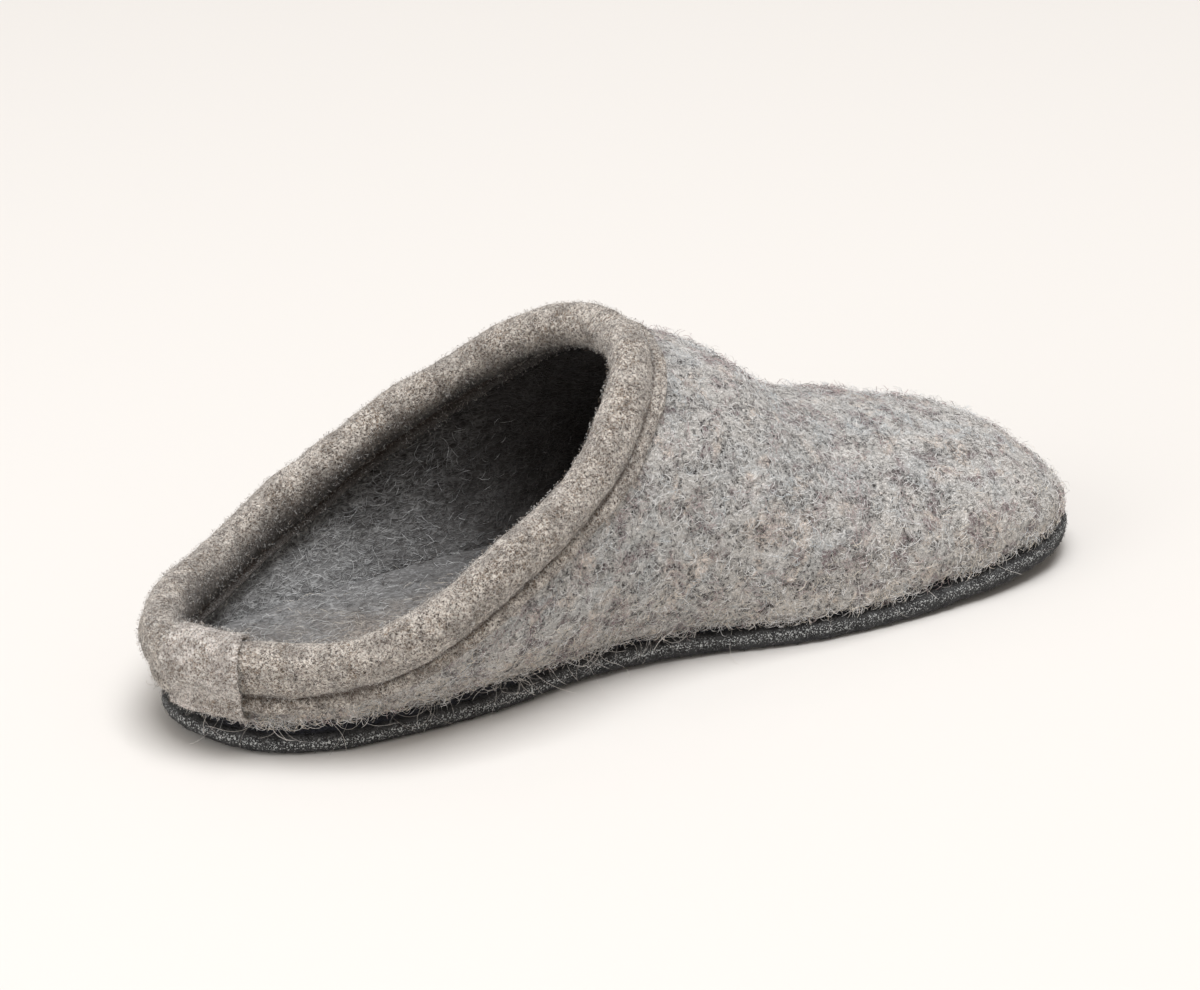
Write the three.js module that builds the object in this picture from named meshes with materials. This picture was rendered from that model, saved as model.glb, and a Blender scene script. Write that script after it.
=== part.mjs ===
// A wool felt slipper for the left foot: a hollow felt upper on a thin two-layer sole, with a loose insole,
// a padded binding round the collar and a patch over the binding's joint at the heel.
// Millimetres, +Z up, toe along +X, the foot's outer side along +Y. Each piece is one closed solid.

import * as THREE from "three";

// Overall sizes
const SOLE_LENGTH = 285;
const BALL_WIDTH = 98;
const HEEL_WIDTH = 76;
const TOE_SPRING = 5.8; // floor to the sole's underside at the toe
const HEEL_LIFT = 2.6; // the same at the very back
const ARCH_LIFT = 1.1; // the same at the waist
const HEEL_BULGE = 3; // how far the heel's wall stands out behind the sole seam
const COLLAR_HEIGHT = 26.4; // floor to the felt's edge at the back of the heel
const INSTEP_HEIGHT = 88; // floor to the felt's edge at the instep
const TOE_HEIGHT = 48.4; // floor to the top of the toe box

// Thicknesses
const FELT = 3.5; // wall of the upper
const OUTSOLE_HEEL = 5.2;
const OUTSOLE_TOE = 6.9;
const MIDSOLE_HEEL = 3.6;
const MIDSOLE_TOE = 1.2;
const INSOLE = 4;
const TAB = 1.5;

// Set-backs from the outsole's outline, and the gap that glued and sewn pieces keep
const GAP = 0.3;
const BINDING_GAP = 0.5; // the binding bends round the felt's edge, so it stands off a little more
const UPPER_INSET = 1.5;
const MIDSOLE_INSET = 2.8;
const SOLE_EDGE = 1.8; // radius of the outsole's worn lower edge
const SOLE_TOP_EDGE = 0.8; // the same along its upper edge
const INSOLE_EDGE = 1.2;

// Collar binding: a padded roll over the felt's edge, sewn down along a flat edge outside and inside
const ROLL_RADIUS_HEEL = 6.5;
const ROLL_RADIUS_FRONT = 6.3;
const ROLL_RISE = 1; // centre of a round roll above the felt's edge
const ROLL_SAG = 1.25; // how many times taller than wide the roll is at the heel, where it hangs lower
const BINDING_DEPTH_HEEL = 12.6; // felt's edge down to the end of the binding outside
const BINDING_DEPTH_FRONT = 9.2;
const BINDING_DEPTH_INSIDE = 9.6;
const BINDING_HEEL = 3.2; // thickness of the sewn edge
const BINDING_FRONT = 1.8;
const SEAM = 0.9; // thickness left under the row of stitches
const SEAM_ANGLE = 56; // where the roll runs into that row, in degrees below level
const TAB_WIDTH = 22;
const TAB_OFFSET = 8; // back of the heel to the patch, along the collar on the foot's inner side
const TAB_REACH = 150; // how far over the roll the patch begins, in degrees above level outside
const TAB_LEAVE = 42; // where it leaves the roll, in degrees below level
const TAB_FLAT = 0.2; // share of the binding's depth where it lies flat on the sewn edge

// Rounding of the plan at both ends and of the toe box, as a share of the length and a power
const HEEL_ROUND = { share: 0.16, power: 2 };
const TOE_ROUND = { share: 0.26, power: 2.23 };
const TOE_BOX_ROUND = { share: 0.105, power: 2.1 };

// How finely the pieces are faceted
const SOLE_POINTS = 84;
const STATIONS_TAB = 4; // across the heel patch
const STATIONS_COLLAR = 25; // along the rest of one side of the collar
const STATIONS_VAMP = 20; // from the collar's front to the toe
const WALL_STEPS = 12; // from the sole up to the collar or to the middle of the vamp
const ROLL_STEPS = 13;
const EDGE_STEPS = 3;
const COLLAR_SAMPLES = 600; // along the collar's edge, to find its length
const HALVINGS = 40; // in the search for the collar's edge
const WELD_STEPS = 1e4; // points closer than a step of 1 mm over this count are one

// Sole outline, at shares of its length: half of its width in heel widths and ball widths, and the
// sideways shift of its centre line in ball widths
const OUTLINE = [
  { at: 0, heel: 0.456, ball: 0, shift: 0.002 },
  { at: 0.16, heel: 0.497, ball: 0, shift: 0.004 },
  { at: 0.3, heel: 0.528, ball: 0, shift: 0.026 },
  { at: 0.42, heel: 0.3, ball: 0.162, shift: 0.053 },
  { at: 0.55, heel: 0, ball: 0.434, shift: 0.05 },
  { at: 0.68, heel: 0, ball: 0.5, shift: 0.034 },
  { at: 0.8, heel: 0, ball: 0.488, shift: 0.01 },
  { at: 1, heel: 0, ball: 0.45, shift: -0.114 },
];

// Underside of the sole: its clearance in heel lifts, arch lifts and toe springs
const UNDERSIDE = [
  { at: 0, heel: 1, arch: 0, toe: 0 },
  { at: 0.08, heel: 0, arch: 0, toe: 0 },
  { at: 0.25, heel: 0, arch: 0, toe: 0 },
  { at: 0.42, heel: 0, arch: 1, toe: 0 },
  { at: 0.59, heel: 0, arch: 0, toe: 0 },
  { at: 0.7, heel: 0, arch: 0, toe: 0 },
  { at: 0.84, heel: 0, arch: 0, toe: 0.32 },
  { at: 1, heel: 0, arch: 0, toe: 1 },
];

// Change of each sole layer from its heel thickness (0) to its toe thickness (1)
const LAYERS = [
  { at: 0, outsole: 0, midsole: 0 },
  { at: 0.18, outsole: 0, midsole: 0.1 },
  { at: 0.45, outsole: 0.45, midsole: 1 },
  { at: 0.8, outsole: 0.6, midsole: 1 },
  { at: 1, outsole: 1, midsole: 1 },
];

// Sections of the upper: how far its widest line stands out beyond the sole seam, in heel widths, how high
// that line lies, in instep heights, and the power of the arch above it, where 2 is an ellipse
const SECTIONS = [
  { at: 0, bulge: 0, widest: 0.27, power: 2.42 },
  { at: 0.1, bulge: 0.08, widest: 0.28, power: 2.42 },
  { at: 0.2, bulge: 0.162, widest: 0.303, power: 2.42 },
  { at: 0.35, bulge: 0.148, widest: 0.345, power: 2.36 },
  { at: 0.5, bulge: 0.091, widest: 0.29, power: 2.16 },
  { at: 0.65, bulge: 0.024, widest: 0.18, power: 2 },
  { at: 0.8, bulge: 0, widest: 0.11, power: 1.85 },
  { at: 1, bulge: 0, widest: 0.08, power: 1.75 },
];

// Height of the middle line: instep heights behind the toe box and toe heights over it. Behind the collar's
// front it is where the two walls would meet if they weren't cut away.
const CREST = [
  { at: 0, instep: 0.794, toe: 0 },
  { at: 0.2, instep: 0.918, toe: 0 },
  { at: 0.35, instep: 1.106, toe: 0 },
  { at: 0.46, instep: 1.053, toe: 0 },
  { at: 0.55, instep: 0.952, toe: 0 },
  { at: 0.63, instep: 0.83, toe: 0 },
  { at: 0.72, instep: 0, toe: 1.12 },
  { at: 0.81, instep: 0, toe: 1.005 },
  { at: 0.9, instep: 0, toe: 0.865 },
  { at: 1, instep: 0, toe: 0.65 },
];

// Cut of the collar seen from the side: its rise from the collar height (0) to the instep height (1)
const COLLAR_CUT = [
  { at: 0, rise: 0 },
  { at: 0.1, rise: 0.02 },
  { at: 0.2, rise: 0.168 },
  { at: 0.3, rise: 0.4 },
  { at: 0.4, rise: 0.63 },
  { at: 0.5, rise: 0.968 },
  { at: 0.6, rise: 1.143 },
];

// Outer side of the sewn edge, from its end up to the row of stitches, as shares of its thickness and of
// that height
const SEWN_EDGE = [
  { thick: 0, up: 0 },
  { thick: 0.6, up: 0 },
  { thick: 1, up: 0.2 },
  { thick: 1, up: 0.6 },
  { thick: 0.8, up: 0.85 },
];

// The widest line divides each wall of the upper at this share of the way from the middle line to the sole
const WIDEST_SHARE = 0.7;
const HIGHEST_WIDEST = 0.6; // and never lies higher than this share of the section

const clamp = THREE.MathUtils.clamp;
const mix = THREE.MathUtils.lerp;

// Smooth line through one column of a table. It never overshoots, so equal neighbours stay level.
function curve(rows, name) {
  const x = rows.map((row) => row.at);
  const y = rows.map((row) => row[name]);
  const slope = x.slice(1).map((end, i) => (y[i + 1] - y[i]) / (end - x[i]));
  const tangent = x.map((_, i) => {
    if (i === 0 || i === slope.length) return slope[Math.min(i, slope.length - 1)];
    const product = slope[i - 1] * slope[i];
    return product > 0 ? (2 * product) / (slope[i - 1] + slope[i]) : 0;
  });
  return (at) => {
    const place = clamp(at, x[0], x[slope.length]);
    const next = Math.max(1, x.findIndex((end) => end >= place));
    const i = next - 1;
    const width = x[next] - x[i];
    const u = (place - x[i]) / width;
    const v = 1 - u;
    return (
      v * v * (1 + 2 * u) * y[i] +
      u * u * (1 + 2 * v) * y[next] +
      u * v * width * (v * tangent[i] - u * tangent[next])
    );
  };
}

const curves = (rows) =>
  Object.fromEntries(Object.keys(rows[0]).map((name) => [name, curve(rows, name)]));

const outlineAt = curves(OUTLINE);
const undersideAt = curves(UNDERSIDE);
const layersAt = curves(LAYERS);
const sectionsAt = curves(SECTIONS);
const crestAt = curves(CREST);
const collarCutAt = curves(COLLAR_CUT);

// 0 at the very end, 1 from the rounding's length on
function rounding({ share, power }, fromEnd) {
  const u = 1 - clamp(fromEnd / share, 0, 1);
  return (1 - u ** power) ** (1 / power);
}

// 1 at the back of the heel, 0 from the rounding's length on
const heelShare = (t) => (1 - clamp(t / HEEL_ROUND.share, 0, 1)) ** HEEL_ROUND.power;
const planRounding = (t) => rounding(HEEL_ROUND, t) * rounding(TOE_ROUND, 1 - t);
const halfWidth = (t) =>
  (HEEL_WIDTH * outlineAt.heel(t) + BALL_WIDTH * outlineAt.ball(t)) * planRounding(t);
const centreLine = (t) => BALL_WIDTH * outlineAt.shift(t);
const underside = (t) =>
  HEEL_LIFT * undersideAt.heel(t) + ARCH_LIFT * undersideAt.arch(t) + TOE_SPRING * undersideAt.toe(t);
const outsoleTop = (t) => underside(t) + mix(OUTSOLE_HEEL, OUTSOLE_TOE, layersAt.outsole(t));
const midsoleTop = (t) => outsoleTop(t) + GAP + mix(MIDSOLE_HEEL, MIDSOLE_TOE, layersAt.midsole(t));
const soleSeam = (t) => midsoleTop(t) + GAP; // lower edge of the upper
const collarCut = (t) => mix(COLLAR_HEIGHT, INSTEP_HEIGHT, collarCutAt.rise(t));
const crest = (t) => {
  const full = INSTEP_HEIGHT * crestAt.instep(t) + TOE_HEIGHT * crestAt.toe(t);
  return mix(soleSeam(t), full, rounding(TOE_BOX_ROUND, 1 - t));
};

// Point of the upper's outer face. side is -1 or 1, and down goes from 0 on the middle line to 1 at the sole.
function upperPoint(t, side, down) {
  const ends = planRounding(t);
  const seam = halfWidth(t) - UPPER_INSET * ends;
  const bulge = HEEL_WIDTH * sectionsAt.bulge(t) * ends;
  const floor = soleSeam(t);
  const top = crest(t);
  const widest = floor + Math.min(
    INSTEP_HEIGHT * sectionsAt.widest(t) * rounding(TOE_BOX_ROUND, 1 - t),
    (top - floor) * HIGHEST_WIDEST,
  );
  const below = clamp((down - WIDEST_SHARE) / (1 - WIDEST_SHARE), 0, 1);
  const lean = 1 - below * below;
  const angle = (clamp(down / WIDEST_SHARE, 0, 1) * Math.PI) / 2;
  const power = 2 / sectionsAt.power(t);
  const out = (seam + bulge * lean) * Math.sin(angle) ** power;
  const height = below > 0 ? mix(widest, floor, below) : mix(widest, top, Math.cos(angle) ** power);
  const x = mix(UPPER_INSET, SOLE_LENGTH - UPPER_INSET, t) - HEEL_BULGE * lean * heelShare(t);
  return new THREE.Vector3(x, centreLine(t) + side * out, height);
}

// The value between low and high where a test stops being true
function boundary(low, high, test) {
  for (let i = 0; i < HALVINGS; i++) {
    const middle = (low + high) / 2;
    if (test(middle)) low = middle;
    else high = middle;
  }
  return (low + high) / 2;
}

// Front of the collar, and how far down the wall the collar's edge lies behind it
const collarFront = boundary(0, 1, (t) => crest(t) > collarCut(t));
const collarDown = (t) =>
  t < collarFront ? boundary(0, 1, (down) => upperPoint(t, 1, down).z > collarCut(t)) : 0;

// Lengthwise stations: even steps along the collar's edge, finer at the patch, and then down the vamp
function makeStations() {
  const shares = [];
  const travelled = [0];
  for (let i = 0; i <= COLLAR_SAMPLES; i++) {
    shares.push((collarFront * (1 - Math.cos((Math.PI * i) / COLLAR_SAMPLES))) / 2);
  }
  const edge = shares.map((t) => upperPoint(t, -1, collarDown(t)));
  for (let i = 1; i <= COLLAR_SAMPLES; i++) {
    travelled.push(travelled[i - 1] + edge[i].distanceTo(edge[i - 1]));
  }
  const shareAt = (length) => {
    const i = Math.max(1, travelled.findIndex((far) => far >= length));
    const part = (length - travelled[i - 1]) / (travelled[i] - travelled[i - 1]);
    return mix(shares[i - 1], shares[i], part);
  };
  const stations = [shareAt(0)];
  for (let i = 0; i < STATIONS_TAB; i++) {
    stations.push(shareAt(TAB_OFFSET + (TAB_WIDTH * i) / STATIONS_TAB));
  }
  for (let i = 0; i < STATIONS_COLLAR; i++) {
    stations.push(shareAt(mix(TAB_OFFSET + TAB_WIDTH, travelled[COLLAR_SAMPLES], i / STATIONS_COLLAR)));
  }
  for (let i = 0; i <= STATIONS_VAMP; i++) {
    stations.push(mix(collarFront, 1, Math.sin((Math.PI / 2) * (i / STATIONS_VAMP))));
  }
  return stations;
}

const stations = makeStations();
const frontStation = 1 + STATIONS_TAB + STATIONS_COLLAR;

// Triangle mesh that welds equal points. Patches are rows of point numbers.
class Skin {
  constructor() {
    this.points = [];
    this.numbers = new Map();
    this.faces = [];
  }

  add(point) {
    const key = point.toArray().map((value) => Math.round(value * WELD_STEPS)).join();
    if (!this.numbers.has(key)) {
      this.numbers.set(key, this.points.length);
      this.points.push(point);
    }
    return this.numbers.get(key);
  }

  face(a, b, c) {
    if (a !== b && b !== c && c !== a) this.faces.push(a, b, c);
  }

  patch(rows, flip = false) {
    for (let i = 1; i < rows.length; i++) {
      for (let j = 1; j < rows[i].length; j++) {
        const [a, b, c, d] = [rows[i - 1][j - 1], rows[i][j - 1], rows[i][j], rows[i - 1][j]];
        const corners = flip ? [d, c, b, a] : [a, b, c, d];
        this.face(corners[0], corners[1], corners[2]);
        this.face(corners[0], corners[2], corners[3]);
      }
    }
  }

  geometry() {
    const geometry = new THREE.BufferGeometry();
    const values = this.points.flatMap((point) => point.toArray());
    geometry.setAttribute("position", new THREE.Float32BufferAttribute(values, 3));
    geometry.setIndex(this.faces);
    geometry.computeVertexNormals();
    return geometry;
  }

  normals() {
    const normals = this.geometry().getAttribute("normal");
    return this.points.map((_, i) => new THREE.Vector3().fromBufferAttribute(normals, i));
  }
}

// Outer face of the upper: for each side a grid of point numbers, from the sole up at each station
function outerFace() {
  const skin = new Skin();
  const grids = [-1, 1].map((side) =>
    stations.map((t) => {
      const top = collarDown(t);
      const row = [];
      for (let j = 0; j <= WALL_STEPS; j++) {
        row.push(skin.add(upperPoint(t, side, mix(1, top, j / WALL_STEPS))));
      }
      return row;
    }),
  );
  skin.patch(grids[0]);
  skin.patch(grids[1], true);
  return { skin, grids };
}

const outer = outerFace();
const outerNormals = outer.skin.normals();
const seamPoints = new Set(outer.grids.flatMap((grid) => grid.map((row) => row[0])));
seamPoints.forEach((number) => outerNormals[number].setZ(0).normalize());

function innerFace() {
  const skin = new Skin();
  const numbers = outer.skin.points.map((point, i) =>
    skin.add(point.clone().addScaledVector(outerNormals[i], -FELT)),
  );
  const grids = outer.grids.map((grid) => grid.map((row) => row.map((number) => numbers[number])));
  skin.patch(grids[0]);
  skin.patch(grids[1], true);
  return { skin, grids };
}

const inner = innerFace();

function upper() {
  const skin = new Skin();
  const copy = (face) =>
    face.grids.map((grid) => grid.map((row) => row.map((number) => skin.add(face.skin.points[number]))));
  const [outside, inside] = [copy(outer), copy(inner)];
  [false, true].forEach((flip, side) => {
    const [out, into] = [outside[side], inside[side]];
    skin.patch(out, flip);
    skin.patch(into, !flip);
    skin.patch(out.map((row, i) => [into[i][0], row[0]]), flip);
    const collar = out.slice(0, frontStation + 1);
    skin.patch(collar.map((row, i) => [row[WALL_STEPS], into[i][WALL_STEPS]]), flip);
  });
  return skin.geometry();
}

// Frame of the collar's edge at each station, once round: the edge point, the way out of the wall, the way
// up past the edge, and the share of the way from heel to front
function makeCollarFrames() {
  const near = outer.grids[0].slice(0, frontStation + 1).map((row) => row[WALL_STEPS]);
  const far = outer.grids[1].slice(1, frontStation).map((row) => row[WALL_STEPS]).reverse();
  const loop = [...near, ...far];
  return loop.map((number, i) => {
    const point = outer.skin.points[number];
    const ahead = outer.skin.points[loop[(i + 1) % loop.length]];
    const behind = outer.skin.points[loop[(i + loop.length - 1) % loop.length]];
    const along = ahead.clone().sub(behind).normalize();
    const out = outerNormals[number].clone().projectOnPlane(along).normalize();
    const up = out.clone().cross(along).normalize();
    const station = i <= frontStation ? i : loop.length - i;
    return { point, out, up, station, forward: stations[station] / collarFront };
  });
}

const collarFrames = makeCollarFrames();

// Nearest place on a face of the upper, with the smoothed normal there
function seatOn(face, normals, point) {
  const triangle = new THREE.Triangle();
  const spot = new THREE.Vector3();
  const weights = new THREE.Vector3();
  const best = { distance: Infinity };
  const { faces, points } = face.skin;
  for (let i = 0; i < faces.length; i += 3) {
    const [a, b, c] = faces.slice(i, i + 3);
    triangle.set(points[a], points[b], points[c]);
    triangle.closestPointToPoint(point, spot);
    const distance = spot.distanceTo(point);
    if (distance >= best.distance) continue;
    triangle.getBarycoord(spot, weights);
    best.distance = distance;
    best.point = spot.clone();
    best.normal = new THREE.Vector3()
      .addScaledVector(normals[a], weights.x)
      .addScaledVector(normals[b], weights.y)
      .addScaledVector(normals[c], weights.z)
      .normalize();
  }
  return best;
}

const innerNormals = inner.skin.normals();

// A point of the binding or patch: out is measured from the felt's outer face and up from its edge. Below
// the edge it follows the outer face, or the inner face where out is on that side.
function collarPoint(frame, out, up) {
  const straight = (o, u) =>
    frame.point.clone().addScaledVector(frame.out, o).addScaledVector(frame.up, u);
  if (up >= 0) return straight(out, up);
  if (out > -FELT / 2) {
    const seat = seatOn(outer, outerNormals, straight(0, up));
    return seat.point.addScaledVector(seat.normal, out);
  }
  const seat = seatOn(inner, innerNormals, straight(-FELT, up));
  return seat.point.addScaledVector(seat.normal, out + FELT);
}

// Point on the roll's section, or that far outside it. Below its top the roll is stretched down by the sag.
function rollPoint(forward, degrees, lift = 0) {
  const radius = mix(ROLL_RADIUS_HEEL, ROLL_RADIUS_FRONT, forward);
  const tall = radius * mix(ROLL_SAG, 1, forward);
  const angle = THREE.MathUtils.degToRad(degrees);
  const centre = ROLL_RISE + radius - tall;
  return [-FELT / 2 + (radius + lift) * Math.cos(angle), centre + (tall + lift) * Math.sin(angle)];
}

const bindingDepth = (forward) => mix(BINDING_DEPTH_HEEL, BINDING_DEPTH_FRONT, forward);
const bindingThickness = (forward) => mix(BINDING_HEEL, BINDING_FRONT, forward);

// Section of the binding, once round: sewn edge outside, row of stitches, roll, and the same inside
function bindingSection(forward) {
  const depthOutside = bindingDepth(forward);
  const thick = bindingThickness(forward);
  const stitches = rollPoint(forward, -SEAM_ANGLE)[1] - SEAM / 2;
  const outside = (depth) => [
    ...SEWN_EDGE.map((row) => [BINDING_GAP + thick * row.thick, mix(-depth, stitches, row.up)]),
    [BINDING_GAP + SEAM, stitches],
  ];
  const mirror = ([out, up]) => [-FELT - out, up];
  const roll = [];
  for (let i = 0; i <= ROLL_STEPS; i++) {
    roll.push(rollPoint(forward, mix(-SEAM_ANGLE, 180 + SEAM_ANGLE, i / ROLL_STEPS)));
  }
  return [
    [BINDING_GAP, -depthOutside / 2],
    ...outside(depthOutside),
    ...roll,
    ...outside(BINDING_DEPTH_INSIDE).reverse().map(mirror),
    mirror([BINDING_GAP, -BINDING_DEPTH_INSIDE / 2]),
    mirror([BINDING_GAP, BINDING_GAP]),
    [BINDING_GAP, BINDING_GAP],
  ];
}

function collarBinding() {
  const skin = new Skin();
  const rows = collarFrames.map((frame) =>
    bindingSection(frame.forward).map(([out, up]) => skin.add(collarPoint(frame, out, up))),
  );
  rows.forEach((row) => row.push(row[0]));
  rows.push(rows[0]);
  skin.patch(rows);
  return skin.geometry();
}

// Heel patch: lies over the roll and the sewn edge and ends on the felt just above the sole
function tabSection(forward, lift, depth) {
  const over = BINDING_GAP + bindingThickness(forward) + lift;
  const end = -bindingDepth(forward);
  const roll = [];
  for (let i = 0; i <= ROLL_STEPS; i++) {
    roll.push(rollPoint(forward, mix(TAB_REACH, -TAB_LEAVE, i / ROLL_STEPS), lift));
  }
  return [
    ...roll,
    [over, end * (1 - TAB_FLAT)],
    [over, end],
    [lift, -depth],
  ];
}

function heelTab() {
  const skin = new Skin();
  const frames = collarFrames.slice(1, 2 + STATIONS_TAB);
  const face = (lift) =>
    frames.map((frame) => {
      const depth = frame.point.z - soleSeam(stations[frame.station]) - GAP;
      return tabSection(frame.forward, lift, depth).map(([out, up]) =>
        skin.add(collarPoint(frame, out, up)),
      );
    });
  const [under, over] = [face(GAP), face(GAP + TAB)];
  skin.patch(over, true);
  skin.patch(under);
  const ends = [0, frames.length - 1];
  ends.forEach((i) => skin.patch([under[i], over[i]], i === 0));
  const last = under[0].length - 1;
  [0, last].forEach((j) => skin.patch([under.map((row) => row[j]), over.map((row) => row[j])], j !== 0));
  return skin.geometry();
}

// Ring of points round the sole, set back from the outline, with a height for each share of the length
function ring(skin, inset, height) {
  const shareAt = (angle) => (1 - Math.cos(angle)) / 2;
  const plan = (angle) => {
    const t = shareAt(angle);
    return new THREE.Vector2(SOLE_LENGTH * t, centreLine(t) - Math.sign(Math.sin(angle)) * halfWidth(t));
  };
  const numbers = [];
  const step = (2 * Math.PI) / SOLE_POINTS;
  const little = step / 8;
  for (let i = 0; i < SOLE_POINTS; i++) {
    const angle = i * step;
    const along = plan(angle + little).sub(plan(angle - little)).normalize();
    const point = plan(angle).sub(new THREE.Vector2(along.y, -along.x).multiplyScalar(inset));
    numbers.push(skin.add(new THREE.Vector3(point.x, point.y, height(shareAt(angle)))));
  }
  return numbers;
}

// Closed layer from rings that go from its underside to its top. Both caps are strips across the sole.
function layer(rings) {
  const skin = new Skin();
  const rows = rings.map(([inset, height]) => ring(skin, inset, height));
  skin.patch(rows.map((row) => [...row, row[0]]), true);
  const cap = (row, flip) => {
    const across = [];
    for (let i = 0; i <= SOLE_POINTS / 2; i++) across.push([row[i], row[(SOLE_POINTS - i) % SOLE_POINTS]]);
    skin.patch(across, flip);
  };
  cap(rows[0], true);
  cap(rows.at(-1), false);
  return skin.geometry();
}

// The outsole's lower edge is worn round and its upper edge is broken
function outsole() {
  const rings = [];
  for (let i = 0; i <= EDGE_STEPS; i++) {
    const angle = ((i / EDGE_STEPS) * Math.PI) / 2;
    const rise = SOLE_EDGE * (1 - Math.cos(angle));
    rings.push([SOLE_EDGE * (1 - Math.sin(angle)), (t) => underside(t) + rise]);
  }
  rings.push([0, (t) => outsoleTop(t) - SOLE_TOP_EDGE]);
  rings.push([SOLE_TOP_EDGE, outsoleTop]);
  return layer(rings);
}

const midsole = () =>
  layer([
    [MIDSOLE_INSET, (t) => outsoleTop(t) + GAP],
    [MIDSOLE_INSET, midsoleTop],
  ]);
const insole = () => {
  const inset = UPPER_INSET + FELT + 2 * GAP;
  return layer([
    [inset, soleSeam],
    [inset, (t) => soleSeam(t) + INSOLE - INSOLE_EDGE],
    [inset + INSOLE_EDGE, (t) => soleSeam(t) + INSOLE],
  ]);
};

// Colours as they look in daylight
const PIECES = [
  { name: "outsole", make: outsole, color: 0x55565a, roughness: 0.9 },
  { name: "midsole", make: midsole, color: 0x1c1d22, roughness: 0.95 },
  { name: "insole", make: insole, color: 0x77706a, roughness: 1 },
  { name: "upper", make: upper, color: 0x96949a, roughness: 1 },
  { name: "collar_binding", make: collarBinding, color: 0xa89e92, roughness: 0.95 },
  { name: "heel_tab", make: heelTab, color: 0xb3a99d, roughness: 0.95 },
];

// The slipper stands on the floor with its origin below the middle of its outer box
const slipper = new THREE.Group();
for (const { name, make, color, roughness } of PIECES) {
  const mesh = new THREE.Mesh(make(), new THREE.MeshStandardMaterial({ color, roughness, metalness: 0 }));
  mesh.name = name;
  slipper.add(mesh);
}
const box = new THREE.Box3().setFromObject(slipper);
const middle = box.getCenter(new THREE.Vector3());
slipper.position.set(-middle.x, -middle.y, -box.min.z);

export default slipper;
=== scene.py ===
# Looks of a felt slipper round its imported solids: boiled wool felt, a padded collar and a dark layered sole.
# Metres, +X to the toe, +Y to the foot's outer side, +Z up.

import math

import bmesh
import bpy
import numpy as np
from mathutils import Matrix, Vector, noise
from mathutils.bvhtree import BVHTree


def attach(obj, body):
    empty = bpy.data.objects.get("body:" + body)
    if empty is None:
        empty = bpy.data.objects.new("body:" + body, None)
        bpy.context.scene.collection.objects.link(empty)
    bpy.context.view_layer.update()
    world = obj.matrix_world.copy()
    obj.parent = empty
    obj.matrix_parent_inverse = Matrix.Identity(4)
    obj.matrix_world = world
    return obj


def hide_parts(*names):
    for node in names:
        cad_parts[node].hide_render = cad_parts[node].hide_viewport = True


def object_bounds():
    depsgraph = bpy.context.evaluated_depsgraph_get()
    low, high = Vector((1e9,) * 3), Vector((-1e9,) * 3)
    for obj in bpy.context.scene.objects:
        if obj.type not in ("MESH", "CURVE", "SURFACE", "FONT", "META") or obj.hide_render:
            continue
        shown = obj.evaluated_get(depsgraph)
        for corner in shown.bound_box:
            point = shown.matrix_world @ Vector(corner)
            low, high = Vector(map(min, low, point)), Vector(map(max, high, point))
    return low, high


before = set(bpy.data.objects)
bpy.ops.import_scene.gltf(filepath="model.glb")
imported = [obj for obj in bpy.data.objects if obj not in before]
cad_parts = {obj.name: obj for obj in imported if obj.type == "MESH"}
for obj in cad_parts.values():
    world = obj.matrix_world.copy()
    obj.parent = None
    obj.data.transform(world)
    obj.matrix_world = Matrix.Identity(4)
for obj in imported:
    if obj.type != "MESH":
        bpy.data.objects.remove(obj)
cad_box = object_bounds()

MM = 0.001


def colour(red, green, blue):
    """Linear colour from the 0 to 255 numbers of a screen."""
    screen = [channel / 255 for channel in (red, green, blue)]
    return tuple(c / 12.92 if c <= 0.04045 else ((c + 0.055) / 1.055) ** 2.4 for c in screen) + (1.0,)


# Camera, floor and light

VIEW_AZIMUTH = math.radians(-27.746)
VIEW_ELEVATION = math.radians(25.582)
VIEW_ROLL = math.radians(-0.718)
VIEW_DISTANCE = 1.1626
VIEW_TARGET = Vector((-0.00452, -0.00450, 0.04164))
SENSOR = 36.0
LENS = SENSOR * 4038.6 / 1200  # focal length in pixels over the picture's width
FLOOR_SIZE = 6
FLOOR_COLOUR = colour(224, 222, 219)
SKY_COLOUR = colour(255, 246, 237)
SKY_STRENGTH = 0.41
LIGHT_AIM = (0, 0, 0.03)


def make_camera():
    back = Vector((
        math.sin(VIEW_AZIMUTH) * math.cos(VIEW_ELEVATION),
        -math.cos(VIEW_AZIMUTH) * math.cos(VIEW_ELEVATION),
        math.sin(VIEW_ELEVATION),
    ))
    level = Vector((math.cos(VIEW_AZIMUTH), math.sin(VIEW_AZIMUTH), 0))
    upright = back.cross(level)
    right = level * math.cos(VIEW_ROLL) + upright * math.sin(VIEW_ROLL)
    up = upright * math.cos(VIEW_ROLL) - level * math.sin(VIEW_ROLL)
    data = bpy.data.cameras.new("camera")
    data.lens = LENS
    data.sensor_width = SENSOR
    data.clip_start = 0.05
    data.clip_end = 50
    camera = bpy.data.objects.new("camera", data)
    turned = Matrix((right, up, back)).transposed().to_4x4()
    camera.matrix_world = Matrix.Translation(VIEW_TARGET + back * VIEW_DISTANCE) @ turned
    bpy.context.scene.collection.objects.link(camera)
    bpy.context.scene.camera = camera


def soft_box(name, place, size, power, tint):
    data = bpy.data.lights.new(name, "AREA")
    data.shape = "SQUARE"
    data.size = size
    data.energy = power
    data.color = tint
    light = bpy.data.objects.new(name, data)
    way = Vector(LIGHT_AIM) - Vector(place)
    light.matrix_world = Matrix.Translation(place) @ way.to_track_quat("-Z", "Y").to_matrix().to_4x4()
    bpy.context.scene.collection.objects.link(light)


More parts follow.
